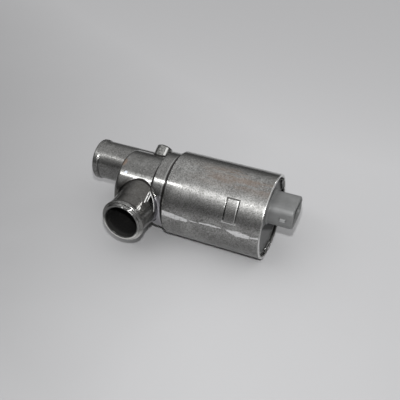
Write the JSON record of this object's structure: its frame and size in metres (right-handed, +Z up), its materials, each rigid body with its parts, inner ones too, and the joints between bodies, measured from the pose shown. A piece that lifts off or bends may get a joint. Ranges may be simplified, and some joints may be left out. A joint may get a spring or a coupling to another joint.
{
  "type": "idle air control valve",
  "caption": "Rotary slide air valve: cast barrel housing with an axial and a radial beaded hose port, plastic end cap with connector, rotor and slide inside.",
  "frame": {"origin": "on the main axis, at the middle of the barrel's length", "axes": "+X along the main axis towards the connector, -Y out of the radial hose port, +Z up as the valve lies on its barrel"},
  "size_m": [0.1206, 0.062, 0.045],
  "materials": {
    "cast_aluminium": "weathered die casting",
    "cap_plastic": "moulded grey plastic",
    "seal_rubber": "plain rubber",
    "screw_steel": "plated",
    "plug_metal": "plain",
    "terminal_metal": "tinned and tarnished",
    "brush_plastic": "moulded brown plastic",
    "carbon": "pressed carbon",
    "spring_steel": "bright spring steel",
    "motor_steel": "plain electrical steel",
    "magnet": "sintered",
    "bearing_steel": "ground",
    "slide_metal": "machined, stained by oil",
    "winding_wire": "enamelled wire",
    "copper": "turned"
  },
  "bodies": {
    "valve_body": {"housing": "cast_aluminium", "stop_screw": "screw_steel", "screw_plug": "plug_metal", "end_cap": "cap_plastic", "end_cap_seal": "seal_rubber", "terminal_1": "terminal_metal", "terminal_2": "terminal_metal", "terminal_3": "terminal_metal", "brush_plate": "brush_plastic", "brush_1": "carbon", "brush_2": "carbon", "brush_3": "carbon", "brush_spring_1": "spring_steel", "brush_spring_2": "spring_steel", "brush_spring_3": "spring_steel", "flux_ring": "motor_steel", "magnet_upper": "magnet", "magnet_lower": "magnet", "magnet_clips": "spring_steel", "front_bearing_outer_ring": "bearing_steel", "front_bearing_clip": "spring_steel", "shaft_seal": "seal_rubber", "rear_bearing_outer_ring": "bearing_steel", "preload_washer": "spring_steel"},
    "rotor": {"shaft": "bearing_steel", "rotary_slide": "slide_metal", "slide_clip": "spring_steel", "spacer_sleeve": "plug_metal", "armature_core": "motor_steel", "armature_windings": "winding_wire", "commutator_hub": "brush_plastic", "commutator_segments": "copper", "front_bearing_inner_ring": "bearing_steel", "rear_bearing_inner_ring": "bearing_steel"},
    "front_ball_set": {"front_bearing_balls": "bearing_steel"},
    "rear_ball_set": {"rear_bearing_balls": "bearing_steel"}
  },
  "joints": [
    {"name": "slide_turn", "type": "hinge", "parent": "valve_body", "child": "rotor", "pos_m": [0, 0, 0], "axis": [-1, 0, 0], "range_deg": [-20, 31]},
    {"name": "front_ball_turn", "type": "hinge", "parent": "valve_body", "child": "front_ball_set", "pos_m": [-0.0245, 0, 0], "axis": [-1, 0, 0], "range_deg": [-20, 31]},
    {"name": "rear_ball_turn", "type": "hinge", "parent": "valve_body", "child": "rear_ball_set", "pos_m": [0.02015, 0, 0], "axis": [-1, 0, 0], "range_deg": [-20, 31]}
  ],
  "couplings": [
    {"joint": "front_ball_turn", "follows": "slide_turn", "ratio": 0.343},
    {"joint": "rear_ball_turn", "follows": "slide_turn", "ratio": 0.367}
  ]
}
